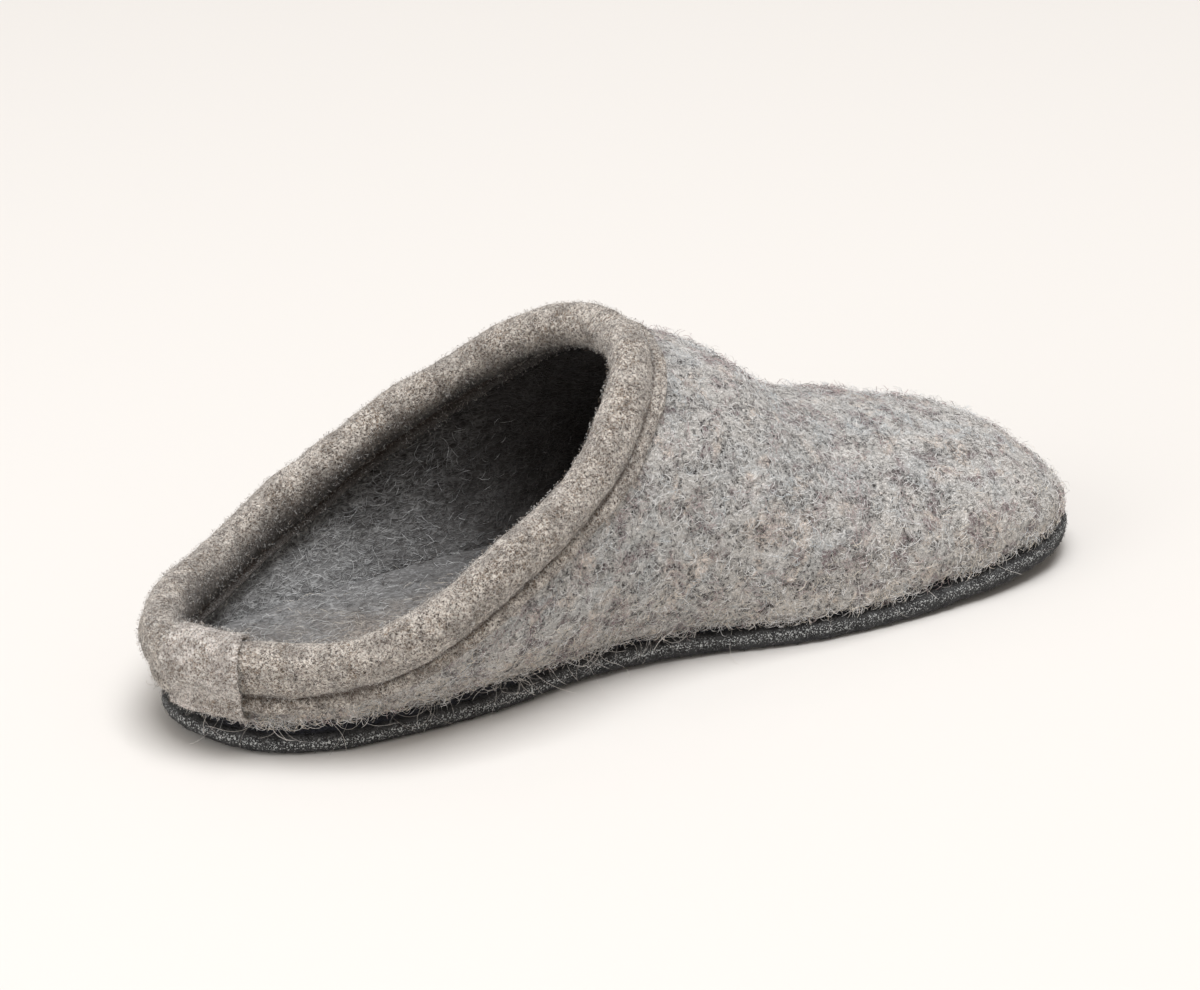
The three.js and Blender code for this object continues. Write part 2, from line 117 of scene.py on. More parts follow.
def make_studio():
    bm = bmesh.new()
    bmesh.ops.create_grid(bm, x_segments=1, y_segments=1, size=FLOOR_SIZE)
    mesh = bpy.data.meshes.new("floor")
    bm.to_mesh(mesh)
    bm.free()
    floor = bpy.data.objects.new("floor", mesh)
    bpy.context.scene.collection.objects.link(floor)
    paper = bpy.data.materials.new("paper")
    paper.use_nodes = True
    shader = paper.node_tree.nodes["Principled BSDF"]
    shader.inputs["Base Color"].default_value = FLOOR_COLOUR
    shader.inputs["Roughness"].default_value = 0.9
    shader.inputs["Specular IOR Level"].default_value = 0.1
    mesh.materials.append(paper)
    world = bpy.data.worlds.new("studio")
    world.use_nodes = True
    sky = world.node_tree.nodes["Background"]
    sky.inputs["Color"].default_value = SKY_COLOUR
    sky.inputs["Strength"].default_value = SKY_STRENGTH
    bpy.context.scene.world = world
    bpy.context.scene.view_settings.view_transform = "Standard"
    soft_box("key", (0.0, -0.35, 2.8), 1.7, 76, (0.99, 0.99, 1.0))
    soft_box("fill", (-2.2, -0.3, 1.0), 1.8, 18, (1.0, 0.99, 0.98))


# Shader maths

class Wire:
    """An output socket of a shader, with Math nodes behind the usual operators."""

    def __init__(self, shader, socket):
        self.shader = shader
        self.socket = socket

    def maths(self, operation, *values, clamp=False):
        sockets = dict(enumerate(values))
        return self.shader.node("ShaderNodeMath", {"operation": operation, "use_clamp": clamp}, sockets)

    def __add__(self, other):
        return self.maths("ADD", self, other)

    def __sub__(self, other):
        return self.maths("SUBTRACT", self, other)

    def __rsub__(self, other):
        return self.maths("SUBTRACT", other, self)

    def __mul__(self, other):
        return self.maths("MULTIPLY", self, other)

    def __abs__(self):
        return self.maths("ABSOLUTE", self)

    def highest(self, other):
        return self.maths("MAXIMUM", self, other)

    def held(self):
        return self.maths("ADD", self, 0, clamp=True)

    __radd__ = __add__
    __rmul__ = __mul__


class Shader:
    """One material and its nodes."""

    def __init__(self, name):
        self.material = bpy.data.materials.new(name)
        self.material.use_nodes = True
        self.tree = self.material.node_tree
        self.tree.nodes.clear()
        self.place = self.node("ShaderNodeTexCoord", output="Object")

    def node(self, kind, settings=None, sockets=None, output=0):
        made = self.tree.nodes.new(kind)
        for name, value in (settings or {}).items():
            setattr(made, name, value)
        for name, value in (sockets or {}).items():
            if isinstance(value, Wire):
                self.tree.links.new(value.socket, made.inputs[name])
            else:
                made.inputs[name].default_value = value
        return Wire(self, made.outputs[output]) if made.outputs else None

    def noise(self, size, detail=2.0, roughness=0.5, distortion=0.0, place=None):
        """Soft noise from 0 to 1 with features of about this size in metres."""
        sockets = {
            "Vector": place or self.place,
            "Scale": 1 / size,
            "Detail": detail,
            "Roughness": roughness,
            "Distortion": distortion,
        }
        return self.node("ShaderNodeTexNoise", {"noise_dimensions": "3D"}, sockets)

    def moved(self, offset, stretch=(1, 1, 1)):
        """The place in another part of the pattern, and stretched where the pattern is to be longer."""
        sockets = {"Vector": self.place, "Location": offset, "Scale": stretch}
        return self.node("ShaderNodeMapping", {"vector_type": "POINT"}, sockets)

    def curls(self, size, width, distortion=1.4, place=None):
        """Lines where a bent noise passes its middle value: loose curly threads."""
        level = self.noise(size, 1.0, 0.4, distortion, place)
        return (1 - abs(level - 0.5) * (1 / width)).held()

    def bent(self, size, amount, place=None):
        """The place, pushed about by soft noise."""
        place = place or self.place
        sockets = {"Vector": place, "Scale": 1 / size, "Detail": 1.0}
        push = self.node("ShaderNodeTexNoise", {"noise_dimensions": "3D"}, sockets, "Color")
        sockets = {0: push, 1: (amount, amount, amount), 2: place}
        return self.node("ShaderNodeVectorMath", {"operation": "MULTIPLY_ADD"}, sockets, "Vector")

    def net(self, size, width, place):
        """Thin lines between cells of this size: a net of crossing threads."""
        sockets = {"Vector": place, "Scale": 1 / size}
        edge = self.node("ShaderNodeTexVoronoi", {"feature": "DISTANCE_TO_EDGE"}, sockets, "Distance")
        return (1 - edge * (1 / width)).held()

    def mix(self, share, first, second):
        return self.node("ShaderNodeMix", {"data_type": "RGBA"}, {0: share, 6: first, 7: second}, 2)

    def between(self, value, low, high):
        """0 below low, 1 above high, smooth between."""
        settings = {"interpolation_type": "SMOOTHSTEP", "clamp": True}
        return self.node("ShaderNodeMapRange", settings, {"Value": value, "From Min": low, "From Max": high})

    def along(self, axis):
        return self.node("ShaderNodeSeparateXYZ", None, {"Vector": self.place}, axis)

    def length(self):
        return self.along("X")

    def width(self):
        return self.along("Y")

    def height(self):
        return self.along("Z")

    def marked(self, name):
        """The piece's own attribute of that name, 0 where it has none."""
        return self.node("ShaderNodeAttribute", {"attribute_name": name}, None, "Fac")

    def bump(self, height, depth, strength=1.0):
        sockets = {"Height": height, "Distance": depth, "Strength": strength}
        return self.node("ShaderNodeBump", None, sockets, "Normal")

    def finish(self, base, roughness=0.9, normal=None, sheen=0.0, specular=0.2, through=0.0):
        sockets = {
            "Base Color": base,
            "Roughness": roughness,
            "Specular IOR Level": specular,
            "Sheen Weight": sheen,
            "Subsurface Weight": through,
            "Subsurface Radius": (1.0, 1.0, 1.0),
            "Subsurface Scale": 0.2 * MM,
        }
        if normal:
            sockets["Normal"] = normal
        surface = self.node("ShaderNodeBsdfPrincipled", None, sockets, "BSDF")
        self.node("ShaderNodeOutputMaterial", None, {"Surface": surface})
        return self.material


# Materials

FELT_PALE = colour(255, 253, 250)
FELT_LIGHT = colour(224, 221, 217)
FELT_DEEP = colour(44, 41, 40)
FELT_BLUE = colour(196, 204, 209)
FELT_MAUVE = colour(132, 114, 117)
FELT_WARM = colour(234, 217, 200)
FELT_ROSE = colour(240, 222, 208)


def felt():
    s = Shader("boiled_wool_felt")
    back_net = s.net(1.3 * MM, 0.13, s.bent(1.7 * MM, 2.0 * MM))
    front_net = s.net(2.1 * MM, 0.08, s.bent(2.1 * MM, 3.0 * MM, s.moved((0.31, 0.17, 0.05))))
    loose = s.curls(2.6 * MM, 0.06, 2.0, s.moved((0.07, 0.41, 0.23)))
    gaps = s.noise(1.5 * MM, 3.0, 0.75, 0.5)
    clumps = s.noise(4.2 * MM, 3.0, 0.6, 0.5)
    tufts = s.noise(10 * MM, 2.0, 0.5, 0.5, s.moved((0.1, 0.6, 0.3)))
    patches = s.noise(8 * MM, 2.0, 0.5, 0.6, s.moved((0.5, 0.2, 0.9)))
    cool = s.noise(13 * MM, 2.0, 0.5, 0.6, s.moved((0.9, 0.6, 0.1)))
    rose = s.noise(9 * MM, 2.0, 0.5, 0.6, s.moved((0.2, 0.9, 0.7)))
    low = 1 - s.between(s.height(), 8 * MM, 36 * MM)
    back = 1 - s.between(s.length(), -60 * MM, 20 * MM)
    light = s.mix((s.between(cool, 0.48, 0.6) * 0.5 - low * back * 0.4).held(), FELT_LIGHT, FELT_BLUE)
    light = s.mix(s.between(rose, 0.54, 0.64) * 0.6, light, FELT_ROSE)
    light = s.mix((low * 0.3 + low * back * 0.3).held(), light, FELT_WARM)
    light = s.mix(s.between(patches + low * back * 0.03, 0.53, 0.66) * 0.9, light, FELT_MAUVE)
    fullness = s.between(clumps * 0.8 + tufts * 0.5, 0.5, 0.84)
    sparse = low * back * -0.02 - s.between(s.length(), 60 * MM, 130 * MM) * 0.04
    base = s.mix(s.between(gaps + fullness * 0.12 - sparse, 0.44, 0.6), FELT_DEEP, light)
    base = s.mix(back_net * (fullness * 0.3 + 0.45), base, light)
    base = s.mix(front_net * (fullness * 0.4 + 0.4), base, FELT_PALE)
    base = s.mix(loose * (fullness * 0.4 + 0.3), base, FELT_PALE)
    relief = front_net * 0.35 + back_net * 0.2 + loose * 0.3 + gaps * 0.5 + clumps * 1.3
    return s.finish(base, 0.95, s.bump(relief, 1.0 * MM, 1.0), sheen=0.4)


LINING_LIGHT = colour(208, 209, 210)
LINING_GREY = colour(112, 112, 112)
LINING_DEEP = colour(44, 42, 41)
LINING_SHADE = colour(46, 42, 40)
LINING_LIT_FROM = -84 * MM  # painted shade: the lining's wool is light at the heel and is painted darker towards the toe, where the vamp keeps the light out
LINING_SHADED_FROM = 8 * MM


def lining_wool(s):
    along = s.moved((0.2, 0.1, 0.4), (0.5, 1, 1))
    combed = s.net(1.9 * MM, 0.09, s.bent(2.0 * MM, 2.6 * MM, along))
    loose = s.curls(2.8 * MM, 0.06, 2.0, s.moved((0.31, 0.17, 0.05), (0.5, 1, 1)))
    threads = combed.highest(loose)
    ground = s.noise(1.5 * MM, 3.0, 0.7, 0.4, along)
    clumps = s.noise(7 * MM, 3.0, 0.6, 0.5)
    fullness = s.between(clumps, 0.36, 0.62)
    base = s.mix(s.between(ground + fullness * 0.1, 0.42, 0.62), LINING_DEEP, LINING_GREY)
    base = s.mix(threads * (fullness * 0.4 + 0.35), base, LINING_LIGHT)
    # painted light: the lining's lower part is lighter, where light falls into the slipper
    low = 1 - s.between(s.height(), 14 * MM, 36 * MM)
    base = s.mix(low * 0.2, base, LINING_LIGHT)
    # painted shade, darkening the lining towards the toe
    dark = s.between(s.length(), LINING_LIT_FROM, LINING_SHADED_FROM)
    base = s.mix(dark * 0.88, base, LINING_SHADE)
    return base, threads * 0.4 + ground * 0.5 + clumps * 1.2


def lining():
    s = Shader("brushed_lining")
    base, relief = lining_wool(s)
    return s.finish(base, 1.0, s.bump(relief, 0.9 * MM, 0.8), sheen=0.15)


INSOLE_LIGHT = colour(212, 203, 194)
INSOLE_WARM = colour(156, 146, 136)
INSOLE_DEEP = colour(78, 71, 65)


def insole_felt():
    s = Shader("insole_felt")
    # the lining's wool, with its painted shade towards the toe and its painted light low down
    cool, relief = lining_wool(s)
    cool = s.mix(0.3, cool, LINING_DEEP)
    threads = s.curls(1.6 * MM, 0.07, 1.6)
    ground = s.noise(1.0 * MM, 3.0, 0.6)
    warm = s.mix(s.between(ground, 0.36, 0.62), INSOLE_DEEP, INSOLE_WARM)
    warm = s.mix(threads * 0.5, warm, INSOLE_LIGHT)
    edge = s.width() + (s.noise(12 * MM, 3.0) - 0.5) * (40 * MM)
    base = s.mix(s.between(edge, -18 * MM, 26 * MM), warm, cool)
    return s.finish(base, 1.0, s.bump(relief, 0.8 * MM, 0.8), sheen=0.15)


KNIT_LIGHT = colour(250, 243, 234)
KNIT_GREY = colour(188, 176, 165)
KNIT_DEEP = colour(60, 50, 43)
KNIT_GROOVE_SHADE = colour(70, 56, 46)
KNIT_INSIDE_SHADE = colour(40, 33, 29)
KNIT_BROWN = colour(150, 132, 114)
PATCH_LIGHT = colour(255, 250, 245)
PATCH_GREY = colour(228, 216, 207)
PATCH_DEEP = colour(92, 80, 71)


def knit(name, light, middle, deep):
    s = Shader(name)
    grain = s.noise(0.62 * MM, 3.0, 0.7, 0.6)
    threads = s.net(0.85 * MM, 0.15, s.bent(1.2 * MM, 1.4 * MM))
    specks = s.noise(0.85 * MM, 2.0, 0.6, 1.0, s.moved((0.3, 0.8, 0.1)))
    clouds = s.noise(6 * MM, 3.0, 0.6, 0.4)
    brown = s.noise(9 * MM, 2.0, 0.5, 0.5, s.moved((0.6, 0.1, 0.5)))
    middle = s.mix(s.between(brown, 0.45, 0.6) * 0.9, middle, KNIT_BROWN)
    base = s.mix(s.between(grain, 0.43, 0.56), deep, middle)
    base = s.mix(s.between(specks, 0.5, 0.58) * 0.8, base, light)
    base = s.mix(threads * 0.45, base, light)
    base = s.mix((1 - s.between(clouds, 0.36, 0.6)) * 0.45, base, deep)
    # the roll's inner side: darker like the lining wool it meets, and painted shade inside the opening
    base = s.mix(s.marked("inside") * 0.9, base, KNIT_INSIDE_SHADE)
    # painted shade in the groove between the roll and its flange
    base = s.mix(s.marked("hollow") * 0.65, base, KNIT_GROOVE_SHADE)
    relief = grain * 0.9 + threads * 0.3 + specks * 0.7 + clouds * 1.4
    return s.finish(base, 0.95, s.bump(relief, 0.7 * MM, 1.0), sheen=0.35)


SOLE_GREY = colour(84, 85, 86)
SOLE_DEEP = colour(34, 34, 36)
SOLE_FLECK = colour(236, 240, 240)


def sole_rubber():
    s = Shader("flecked_sole")
    pores = s.noise(0.6 * MM, 3.0, 0.7)
    flecks = s.noise(0.45 * MM, 1.0, 0.4, 0.8, s.moved((0.6, 0.1, 0.4)))
    clouds = s.noise(4 * MM, 3.0, 0.6)
    rim = s.marked("rim")
    base = s.mix(s.between(pores + clouds * 0.6, 0.6, 0.95), SOLE_DEEP, SOLE_GREY)
    base = s.mix((1 - rim) * 0.5, base, SOLE_DEEP)
    middle = rim * (1 - rim)  # highest half way down the side
    share = s.between(flecks + middle * 0.3, 0.63, 0.71) * (middle * 2.4 + 0.12).held()
    base = s.mix(share, base, SOLE_FLECK)
    roughness = 0.8 - share * 0.3
    return s.finish(base, roughness, s.bump(pores + clouds * 0.7, 0.5 * MM, 0.9), specular=0.3)


BAND_NAVY = colour(36, 38, 46)
BAND_BLACK = colour(14, 14, 17)


def midsole_felt():
    s = Shader("dark_midsole")
    fibres = s.curls(1.0 * MM, 0.08, 1.4)
    ground = s.noise(1.1 * MM, 3.0, 0.6)
    base = s.mix(s.between(ground, 0.35, 0.62), BAND_BLACK, BAND_NAVY)
    return s.finish(base, 0.95, s.bump(fibres * 0.5 + ground, 0.5 * MM, 0.8), sheen=0.1)


def thread(name, shade, sheen=0.2):
    """Plain finish for single hairs, which are far thinner than a pattern on them could be."""
    return Shader(name).finish(shade, 0.8, sheen=sheen, through=1.0)


# Meshes

def merged_copy(node):
    """A bmesh of a CAD node's solid with its loose triangles joined up again."""
    bm = bmesh.new()
    bm.from_mesh(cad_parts[node].data)
    bmesh.ops.remove_doubles(bm, verts=bm.verts, dist=0.002 * MM)
    return bm


def add_piece(name, mesh):
    mesh.shade_smooth()
    piece = bpy.data.objects.new(name, mesh)
    bpy.context.scene.collection.objects.link(piece)
    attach(piece, "root")
    return piece


def make_piece(name, bm, materials, node):
    """A piece that stands for a CAD node, with the finishes given, which hides that node."""
    mesh = bpy.data.meshes.new(name)
    bm.to_mesh(mesh)
    bm.free()
    for material in materials:
        mesh.materials.append(material)
    piece = add_piece(name, mesh)
    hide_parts(node)
    return piece


def apply_modifiers(piece):
    """Puts the shape that the modifiers make into the mesh itself."""
    graph = bpy.context.evaluated_depsgraph_get()
    made = bpy.data.meshes.new_from_object(piece.evaluated_get(graph))
    piece.modifiers.clear()
    piece.data = made
    made.shade_smooth()


def subdivided(piece, levels, kind="CATMULL_CLARK"):
    finer = piece.modifiers.new("finer", "SUBSURF")
    finer.subdivision_type = kind
    finer.levels = finer.render_levels = levels
    finer.use_limit_surface = False
    apply_modifiers(piece)


def remeshed(piece, size, passes):
    voxels = piece.modifiers.new("voxels", "REMESH")
    voxels.mode = "VOXEL"
    voxels.voxel_size = size
    voxels.use_smooth_shade = True
    smooth = piece.modifiers.new("smooth", "SMOOTH")
    smooth.factor = 0.5
    smooth.iterations = passes
    apply_modifiers(piece)


def roughened(piece, waves):
    """Moves each point along its normal by soft noise, as (size, height, seed) for each wave."""
    mesh = piece.data
    normals = [vertex.normal.copy() for vertex in mesh.vertices]
    for vertex, normal in zip(mesh.vertices, normals):
        rise = 0.0
        for size, height, seed in waves:
            rise += height * noise.noise(vertex.co / size + Vector((seed, seed * 0.7, seed * 1.3)))
        vertex.co += normal * rise
    mesh.update()


def make_quads(bm):
    bmesh.ops.join_triangles(
        bm, faces=bm.faces, angle_face_threshold=math.radians(40), angle_shape_threshold=math.radians(180),
        cmp_seam=False, cmp_sharp=False, cmp_uvs=False, cmp_vcols=False, cmp_materials=False,
    )


HEEL_HEART_X = cad_box[0].x + 45 * MM  # the foot's space is round behind this and in front of the next
TOE_HEART_X = cad_box[1].x - 45 * MM


def is_lining(centre, normal):
    """True for a face of the upper that looks into the foot's space."""
    heart = Vector((centre.x, 0.0, min(30 * MM, 0.5 * centre.z + 8 * MM)))
    inward = heart - centre
    if centre.x < HEEL_HEART_X:
        inward.x = HEEL_HEART_X - centre.x
    if centre.x > TOE_HEART_X:
        inward.x = TOE_HEART_X - centre.x
    return normal.dot(inward.normalized()) > 0.12 and abs(normal.z) < 0.999


FELT_SIDE, LINING_SIDE = 0, 1  # the upper's two finishes


def make_upper():
    bm = merged_copy("upper")
    make_quads(bm)
    for face in bm.faces:
        lined = is_lining(face.calc_center_median(), face.normal)
        face.material_index = LINING_SIDE if lined else FELT_SIDE
    piece = make_piece("felt_upper", bm, [felt(), lining()], "upper")
    subdivided(piece, 2)
    roughened(piece, [(14 * MM, 0.9 * MM, 3), (5 * MM, 0.5 * MM, 7)])
    return piece


def mark(piece, name, values):
    """Gives the piece an attribute that its material can read."""
    layer = piece.data.attributes.new(name, "FLOAT", "POINT")
    layer.data.foreach_set("value", values.astype(np.float32))


def points_of(mesh):
    points = np.empty(len(mesh.vertices) * 3)
    mesh.vertices.foreach_get("co", points)
    return points.reshape(-1, 3)


def normals_of(mesh):
    normals = np.empty(len(mesh.vertices) * 3)
    mesh.vertices.foreach_get("normal", normals)
    return normals.reshape(-1, 3)


def edges_of(mesh):
    edges = np.empty(len(mesh.edges) * 2, np.int32)
    mesh.edges.foreach_get("vertices", edges)
    return edges.reshape(-1, 2)


def hollows(mesh, full, rounds):
    """How hollow the surface is at each point, from 0 to 1 where its slope turns by the angle full."""
    points, normals, edges = points_of(mesh), normals_of(mesh), edges_of(mesh)
    span = points[edges[:, 1]] - points[edges[:, 0]]
    size = np.linalg.norm(span, axis=1)
    degree = np.bincount(edges.ravel(), minlength=len(points))
    rise = [(span * normals[edges[:, 0]]).sum(1) / size, -(span * normals[edges[:, 1]]).sum(1) / size]
    hollow = np.bincount(edges[:, 0], rise[0], len(points)) + np.bincount(edges[:, 1], rise[1], len(points))
    hollow = np.clip(hollow / degree / full, 0, 1)
    for _ in range(rounds):
        spread = np.bincount(edges[:, 0], hollow[edges[:, 1]], len(points))
        spread += np.bincount(edges[:, 1], hollow[edges[:, 0]], len(points))
        hollow = (hollow + spread / degree) / 2
    return hollow


def softened(piece, share, rounds):
    """Rounds off the surface by moving each point towards its neighbours, by its own share."""
    points, edges = points_of(piece.data), edges_of(piece.data)
    degree = np.bincount(edges.ravel(), minlength=len(points))[:, None]
    for _ in range(rounds):
        total = np.zeros_like(points)
        np.add.at(total, edges[:, 0], points[edges[:, 1]])
        np.add.at(total, edges[:, 1], points[edges[:, 0]])
        points += (total / degree - points) * share[:, None]
    piece.data.vertices.foreach_set("co", points.ravel())
    piece.data.update()


def face_tree(piece, finish=None):
    """A search tree of a piece's faces, or only of those with one of its finishes."""
    mesh = piece.data
    faces = [face.vertices for face in mesh.polygons if finish in (None, face.material_index)]
    return BVHTree.FromPolygons([vertex.co for vertex in mesh.vertices], faces)


def make_collar(upper):
    bm = merged_copy("collar_binding")
    make_quads(bm)
    materials = [knit("grainy_wool", KNIT_LIGHT, KNIT_GREY, KNIT_DEEP)]
    piece = make_piece("collar_roll", bm, materials, "collar_binding")
    subdivided(piece, 2)
    groove = np.clip(hollows(piece.data, 0.14, 7) * 3.2, 0, 1)
    softened(piece, groove * 0.5, 4)
    lining_tree = face_tree(upper, LINING_SIDE)
    # how far each point lies inside the opening, for the painted shade there
    inside = np.zeros(len(piece.data.vertices))
    for i, vertex in enumerate(piece.data.vertices):
        place, normal, _, far = lining_tree.find_nearest(vertex.co)
        over = (vertex.co - place).dot(normal)
        inside[i] = min((6.5 * MM - far) / (2.5 * MM), (over + 1.0 * MM) / (0.8 * MM))
    roughened(piece, [(18 * MM, 0.9 * MM, 11), (8 * MM, 0.45 * MM, 14), (3.2 * MM, 0.35 * MM, 5)])
    # how deep the groove is at each point, which the knit turns into painted shade
    mark(piece, "hollow", groove)
    mark(piece, "inside", np.clip(inside, 0, 1))
    return piece


def make_heel_patch():
    bm = merged_copy("heel_tab")
    make_quads(bm)
    materials = [knit("patch_wool", PATCH_LIGHT, PATCH_GREY, PATCH_DEEP)]
    piece = make_piece("heel_patch", bm, materials, "heel_tab")
    remeshed(piece, 0.75 * MM, 6)
    roughened(piece, [(9 * MM, 0.6 * MM, 2), (3 * MM, 0.4 * MM, 9)])
    return piece


def make_sole():
    outsole = make_piece("sole_rubber", merged_copy("outsole"), [sole_rubber()], "outsole")
    remeshed(outsole, 1.4 * MM, 3)
    roughened(outsole, [(2.5 * MM, 0.4 * MM, 6)])
    midsole = make_piece("midsole_band", merged_copy("midsole"), [midsole_felt()], "midsole")
    subdivided(midsole, 3, "SIMPLE")
    insole = make_piece("insole_bed", merged_copy("insole"), [insole_felt()], "insole")
    remeshed(insole, 1.7 * MM, 3)
    roughened(insole, [(9 * MM, 0.6 * MM, 8), (3 * MM, 0.4 * MM, 6)])
    for vertex in outsole.data.vertices:
        vertex.co.z = max(vertex.co.z, 0)
    tree = face_tree(midsole)
    far = np.array([tree.find_nearest(vertex.co)[3] for vertex in outsole.data.vertices])
    mark(outsole, "rim", np.clip((5 * MM - far) / (3 * MM), 0, 1))
    return outsole, midsole, insole


# Hairs

HAIR_SIDES = 3


def surface_of(piece, finish=None):
    """Corner points and normals of the piece's triangles, only those with that finish if one is named."""
    mesh = piece.data
    mesh.calc_loop_triangles()
    corners = np.empty(len(mesh.loop_triangles) * 3, np.int32)
    mesh.loop_triangles.foreach_get("vertices", corners)
    finishes = np.empty(len(mesh.loop_triangles), np.int32)
    mesh.loop_triangles.foreach_get("material_index", finishes)
    corners = corners.reshape(-1, 3)
    if finish is not None:
        corners = corners[finishes == finish]
    return points_of(mesh)[corners], normals_of(mesh)[corners]


def roots_on(surface, count, random):
    """Evenly scattered points of a surface, with their normals."""
    points, normals = surface
    area = np.linalg.norm(np.cross(points[:, 1] - points[:, 0], points[:, 2] - points[:, 0]), axis=1)
    chosen = random.choice(len(area), count, p=area / area.sum())
    a, b = random.random((2, count))
    over = a + b > 1
    a[over], b[over] = 1 - a[over], 1 - b[over]
    weights = np.stack([1 - a - b, a, b], 1)[:, :, None]
    root = (points[chosen] * weights).sum(1)
    return root, unit((normals[chosen] * weights).sum(1))


def clear_of(piece, root, normal, reach):
    """True for each root whose tip, that far out along the normal, isn't in or close to another piece."""
    tree = BVHTree.FromObject(piece, bpy.context.evaluated_depsgraph_get())
    tips = root + normal * reach
    return np.array([tree.find_nearest(Vector(tip), reach)[0] is None for tip in tips])


def unit(vectors):
    return vectors / np.linalg.norm(vectors, axis=-1, keepdims=True)


def hair_paths(root, normal, along, length, curl, lift, fall, steps, random):
    """Points of each hair, which leaves the felt at lift, turns sideways by curl and bends down by fall."""
    count = len(root)
    side = np.cross(normal, along)
    spin = curl * random.uniform(-1, 1, count)
    rise = lift * random.uniform(0.5, 1.3, count)
    place = root - normal * 0.15 * MM
    points = [place]
    for step in range(steps):
        share = step / max(1, steps - 1)
        turn = spin * share
        pitch = rise * (1 - fall * share)
        flat = along * np.cos(turn)[:, None] + side * np.sin(turn)[:, None]
        way = flat * np.cos(pitch)[:, None] + normal * np.sin(pitch)[:, None]
        place = place + way * (length / steps)[:, None]
        points.append(place)
    return np.stack(points, 1)


def wandering_paths(root, way, length, turn, steps, random):
    """Points of long loose hairs, each on its own coil that sags and stays above the floor."""
    count = len(root)
    axis = unit(random.normal(size=(count, 3)))
    angle = turn * random.uniform(0.5, 1.5, count)[:, None]
    place = root.copy()
    points = [place]
    for _ in range(steps):
        turned = way * np.cos(angle) + np.cross(axis, way) * np.sin(angle)
        way = unit(turned + axis * (axis * way).sum(1)[:, None] * (1 - np.cos(angle)) - [0, 0, 0.06])
        axis = unit(axis + random.normal(size=(count, 3)) * 0.12)
        place = place + way * (length / steps)[:, None]
        place[:, 2] = np.maximum(place[:, 2], 0.25 * MM)
        points.append(place)
    return np.stack(points, 1)


def hair_mesh(name, paths, thick, finish, materials):
    """One closed three-sided hair along each path, pointed at both ends."""
    count, knots = paths.shape[:2]
    paths[:, :, 2] = np.maximum(paths[:, :, 2], 0.1 * MM)
    way = unit(np.gradient(paths, axis=1))
    helper = unit(np.cross(way[:, 0], way[:, -1]) + 1e-6)[:, None, :]
    across = unit(np.cross(way, helper) + 1e-9)
    upward = np.cross(way, across)
    inner = knots - 2
    rings = []
    for i in range(HAIR_SIDES):
        angle = 2 * math.pi * i / HAIR_SIDES
        spoke = across * math.cos(angle) + upward * math.sin(angle)
        rings.append(paths[:, 1:-1] + spoke[:, 1:-1] * (thick / 2)[:, None, None])
    body = np.stack(rings, 2).reshape(count, -1, 3)
    points = np.concatenate([paths[:, :1], body, paths[:, -1:]], 1)
    end = 1 + inner * HAIR_SIDES
    ring = np.arange(1, end).reshape(inner, HAIR_SIDES)
    faces = []
    for i in range(HAIR_SIDES):
        j = (i + 1) % HAIR_SIDES
        faces.append((0, ring[0, j], ring[0, i]))
        faces.append((end, ring[-1, i], ring[-1, j]))
        for k in range(inner - 1):
            faces.append((ring[k, i], ring[k, j], ring[k + 1, j]))
            faces.append((ring[k, i], ring[k + 1, j], ring[k + 1, i]))
    numbers = (np.array(faces)[None] + (np.arange(count) * (end + 1))[:, None, None]).reshape(-1, 3)
    mesh = bpy.data.meshes.new(name)
    mesh.vertices.add(count * (end + 1))
    mesh.vertices.foreach_set("co", points.astype(np.float32).ravel())
    mesh.loops.add(len(numbers) * 3)
    mesh.loops.foreach_set("vertex_index", numbers.astype(np.int32).ravel())
    mesh.polygons.add(len(numbers))
    mesh.polygons.foreach_set("loop_start", np.arange(0, len(numbers) * 3, 3, dtype=np.int32))
    for material in materials:
        mesh.materials.append(material)
    mesh.polygons.foreach_set("material_index", np.repeat(finish, len(faces)).astype(np.int32))
    mesh.update(calc_edges=True)
    add_piece(name, mesh)


def tangents(normal, random, pull=(0, 0, 0)):
    """A way along the surface for each root, random but drawn towards the pull."""
    way = random.normal(size=normal.shape) + pull
    way -= normal * (way * normal).sum(1)[:, None]
    return unit(way)


def patch_noise(root, size, seed):
    return np.array([noise.noise(Vector(p) / size + Vector((seed, seed, seed))) for p in root])


PALE, GREY, COOL, MAUVE, WARM, DARK = range(6)  # the places in FELT_HAIRS
FELT_HAIRS = {
    "pale": colour(255, 253, 250),
    "grey": colour(190, 186, 182),
    "cool": colour(200, 207, 212),
    "mauve": colour(174, 156, 156),
    "warm": colour(238, 223, 206),
    "dark": colour(58, 53, 52),
}


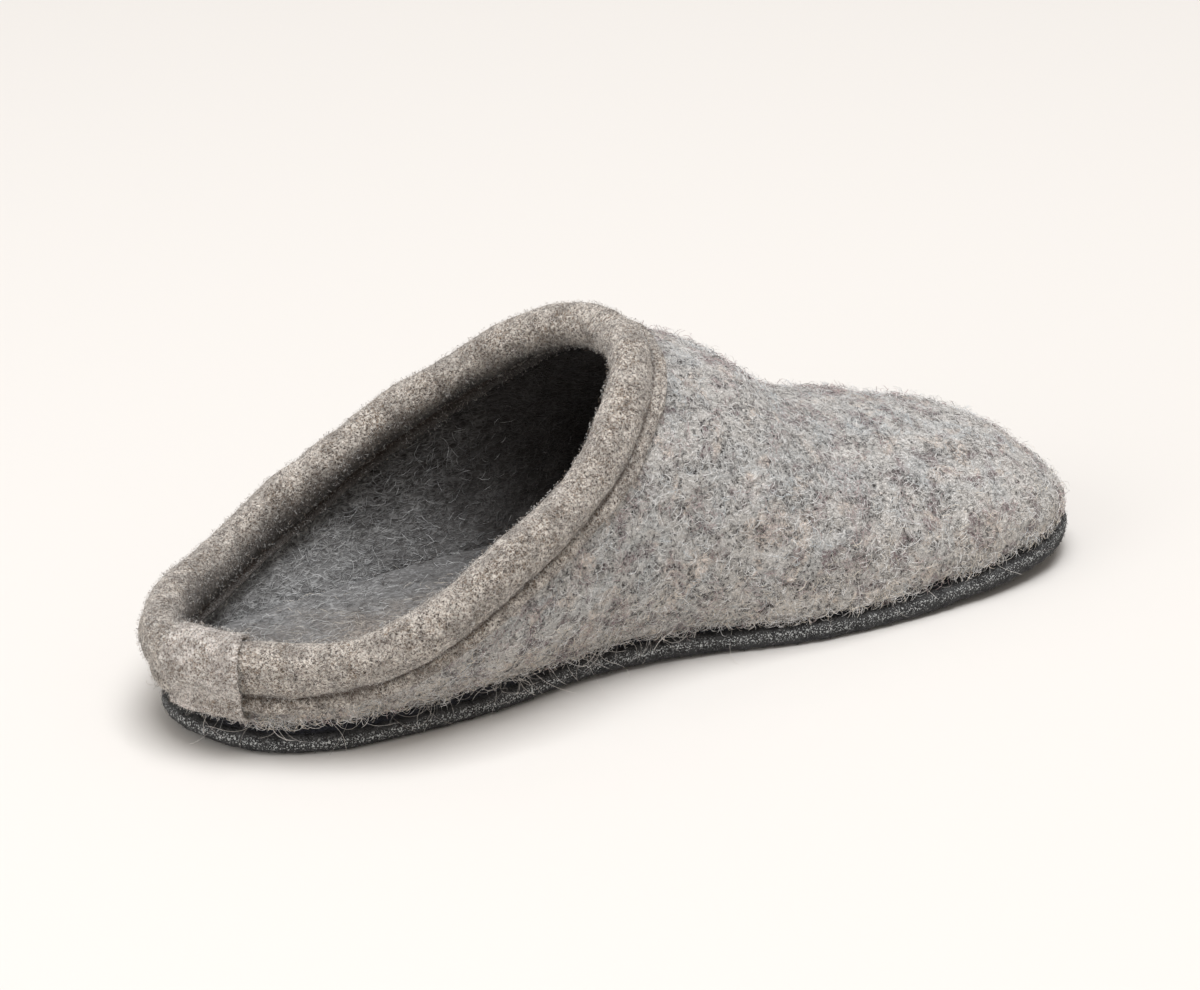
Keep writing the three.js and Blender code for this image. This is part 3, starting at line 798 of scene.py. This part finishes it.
def felt_hairs(upper, collar, midsole):
    random = np.random.default_rng(11)
    materials = [thread(f"felt_hair_{name}", shade) for name, shade in FELT_HAIRS.items()]
    sole_tree = face_tree(midsole)
    for name, count, knots, long, lift, fall in (
        ("felt_nap", 29000, 3, 2.1, 0.7, 1.7),
        ("felt_curls", 10900, 5, 5.0, 0.6, 2.1),
        ("felt_halo", 5200, 4, 4.0, 1.25, 1.0),
        ("felt_fringe", 2600, 5, 5.0, 0.45, 1.4),
    ):
        fringe = name == "felt_fringe"
        tries = 70000 if fringe else int(count * 1.6)  # more than count, because many are left out below
        root, normal = roots_on(surface_of(upper, FELT_SIDE), tries, random)
        if fringe:
            near = np.array([sole_tree.find_nearest(Vector(p))[3] < 4.5 * MM for p in root])
            near &= normal[:, 2] > -0.6
            root, normal = root[near], normal[near]
        free = clear_of(collar, root, normal, 1.2 * MM)
        lumps = patch_noise(root, 4.5 * MM, 4) + 0.5 * patch_noise(root, 10 * MM, 6)
        free &= random.random(len(root)) < 0.78 + 1.1 * lumps
        root, normal, lumps = root[free][:count], normal[free][:count], lumps[free][:count]
        length = random.uniform(0.5, 1.3, len(root)) * long * MM
        along = tangents(normal, random, (0, 0, -2.2) if fringe else (0, 0, 0))
        paths = hair_paths(root, normal, along, length, 3.2, lift, fall, knots - 1, random)
        cool = patch_noise(root, 13 * MM, 2)
        mauve = patch_noise(root, 9 * MM, 8)
        pick = random.random(len(root))
        low = np.clip((36 * MM - root[:, 2]) / (26 * MM), 0, 1)
        finish = np.where(pick < 0.62 + 0.6 * lumps + 0.12 * low, PALE, GREY)
        finish = np.where((pick > 0.65) & (cool > 0.04 + 0.3 * low), COOL, finish)
        finish = np.where((pick > 0.45) & (mauve > 0.14), MAUVE, finish)
        finish = np.where((pick > 0.3) & (pick < 0.3 + 0.3 * low), WARM, finish)
        finish = np.where(pick > (0.99 if name == "felt_halo" else 0.88 - 0.02 * low), DARK, finish)
        thick = random.uniform(0.1, 0.19, len(root)) * MM
        hair_mesh(name, paths, thick, finish, materials)


LINING_HAIRS = (colour(226, 228, 230), colour(146, 148, 150), colour(70, 68, 68), colour(42, 38, 36))
WARM_HAIR = len(LINING_HAIRS)  # the insole's own shade comes after those
LINING_HAIR_END = 50 * MM  # further in, the toe's inside is too dark to show hairs


def lining_hairs(upper, collar, insole):
    random = np.random.default_rng(12)
    materials = [thread(f"lining_hair_{i}", shade, 0.15) for i, shade in enumerate(LINING_HAIRS)]
    materials.append(thread("lining_hair_warm", colour(220, 208, 194), 0.15))
    for name, piece, count, side, slot in (
        ("lining_nap", upper, 13500, LINING_SIDE, "upper"), ("insole_nap", insole, 9000, None, "insole"),
    ):
        root, normal = roots_on(surface_of(piece, side), count, random)
        free = root[:, 0] < LINING_HAIR_END
        if piece is insole:
            free &= normal[:, 2] > 0.5
        free &= clear_of(collar, root, normal, 0.7 * MM)
        root, normal = root[free], normal[free]
        length = random.uniform(0.6, 1.4, len(root)) * 5.5 * MM
        along = tangents(normal, random, (-1.6, 0, -0.5))
        paths = hair_paths(root, normal, along, length, 1.8, 0.6, 2.0, 3, random)
        # painted shade: the lining's hairs turn darker towards the toe, as the lining under them does
        dark = np.clip((root[:, 0] - LINING_LIT_FROM) / (LINING_SHADED_FROM - LINING_LIT_FROM), 0, 1)
        pick = random.random(len(root))
        finish = np.where(pick < 0.45, 0, np.where(pick < 0.8, 1, 2))
        finish = np.where(random.random(len(root)) < dark * 1.1, np.where(pick < 0.3, 2, 3), finish)
        if piece is insole:
            near = 0.5 - root[:, 1] / (60 * MM) - 0.5 * patch_noise(root, 12 * MM, 5)
            warm = (random.random(len(root)) < near) & (pick > 0.25)
            finish = np.where(warm, WARM_HAIR, finish)
        thick = random.uniform(0.07, 0.14, len(root)) * MM
        hair_mesh(name, paths, thick, finish, materials)


def collar_hairs(collar, patch, upper):
    random = np.random.default_rng(13)
    shades = (colour(250, 243, 234), colour(186, 174, 163), colour(64, 54, 47))
    materials = [thread(f"collar_hair_{i}", shade) for i, shade in enumerate(shades)]
    for name, piece, count, pale, slot in (
        ("collar_nap", collar, 22000, 0.5, "collar_binding"), ("patch_nap", patch, 2200, 0.68, "heel_tab"),
    ):
        root, normal = roots_on(surface_of(piece), count, random)
        free = clear_of(upper, root, normal, 1.2 * MM)
        if piece is collar:
            free &= clear_of(patch, root, normal, 1.2 * MM)
        root, normal = root[free], normal[free]
        length = random.uniform(0.5, 1.4, len(root)) * 2.1 * MM
        paths = hair_paths(root, normal, tangents(normal, random), length, 3.0, 1.05, 1.4, 2, random)
        finish = random.choice(3, len(root), p=(pale, 0.2, 0.8 - pale))
        thick = random.uniform(0.09, 0.16, len(root)) * MM
        hair_mesh(name, paths, thick, finish, materials)


SOLE_HAIRS = 6000


def sole_hairs(outsole, midsole):
    """Short fibres on the side of the sole, which soften its outline."""
    random = np.random.default_rng(15)
    shades = (colour(122, 124, 126), colour(64, 65, 67), colour(22, 22, 25))
    materials = [thread(f"sole_hair_{i}", shade, 0.1) for i, shade in enumerate(shades)]
    for name, piece, count, mixture, slot in (
        ("sole_nap", outsole, 30000, (0.14, 0.36, 0.5), "outsole"),
        ("band_nap", midsole, 12000, (0.03, 0.12, 0.85), "midsole"),
    ):
        root, normal = roots_on(surface_of(piece), count, random)
        side = abs(normal[:, 2]) < 0.75
        root, normal = root[side][:SOLE_HAIRS], normal[side][:SOLE_HAIRS]
        length = random.uniform(0.5, 1.4, len(root)) * 1.6 * MM
        paths = hair_paths(root, normal, tangents(normal, random), length, 3.0, 0.6, 1.6, 2, random)
        finish = random.choice(3, len(root), p=mixture)
        thick = random.uniform(0.08, 0.15, len(root)) * MM
        hair_mesh(name, paths, thick, finish, materials)


LOOSE_HAIRS = 300


def loose_hairs(upper):
    """Long single hairs that have come out of the felt over the sole's edge."""
    random = np.random.default_rng(14)
    shades = {"grey": colour(150, 146, 142), "pale": colour(214, 208, 200)}
    materials = [thread(f"loose_hair_{name}", shade) for name, shade in shades.items()]
    root, normal = roots_on(surface_of(upper, FELT_SIDE), 60000, random)
    low = (root[:, 2] < 17 * MM) & (normal[:, 2] > -0.9)
    root, normal = root[low], normal[low]
    inner_side = (root[:, 1] < 0) & (root[:, 0] < 0.01)
    keep = random.random(len(root)) < np.where(inner_side, 0.16, 0.03)
    root, normal = root[keep][:LOOSE_HAIRS], normal[keep][:LOOSE_HAIRS]
    length = random.uniform(0.4, 1.3, len(root)) * 13 * MM
    way = unit(normal + random.normal(size=normal.shape) * 0.8 - [0, 0, 0.5])
    paths = wandering_paths(root, way, length, 0.42, 9, random)
    finish = random.choice(2, len(root), p=(0.55, 0.45))
    thick = random.uniform(0.08, 0.14, len(root)) * MM
    hair_mesh("loose_hairs", paths, thick, finish, materials)


make_camera()
make_studio()
upper = make_upper()
collar = make_collar(upper)
patch = make_heel_patch()
outsole, midsole, insole = make_sole()
felt_hairs(upper, collar, midsole)
lining_hairs(upper, collar, insole)
collar_hairs(collar, patch, upper)
sole_hairs(outsole, midsole)
loose_hairs(upper)
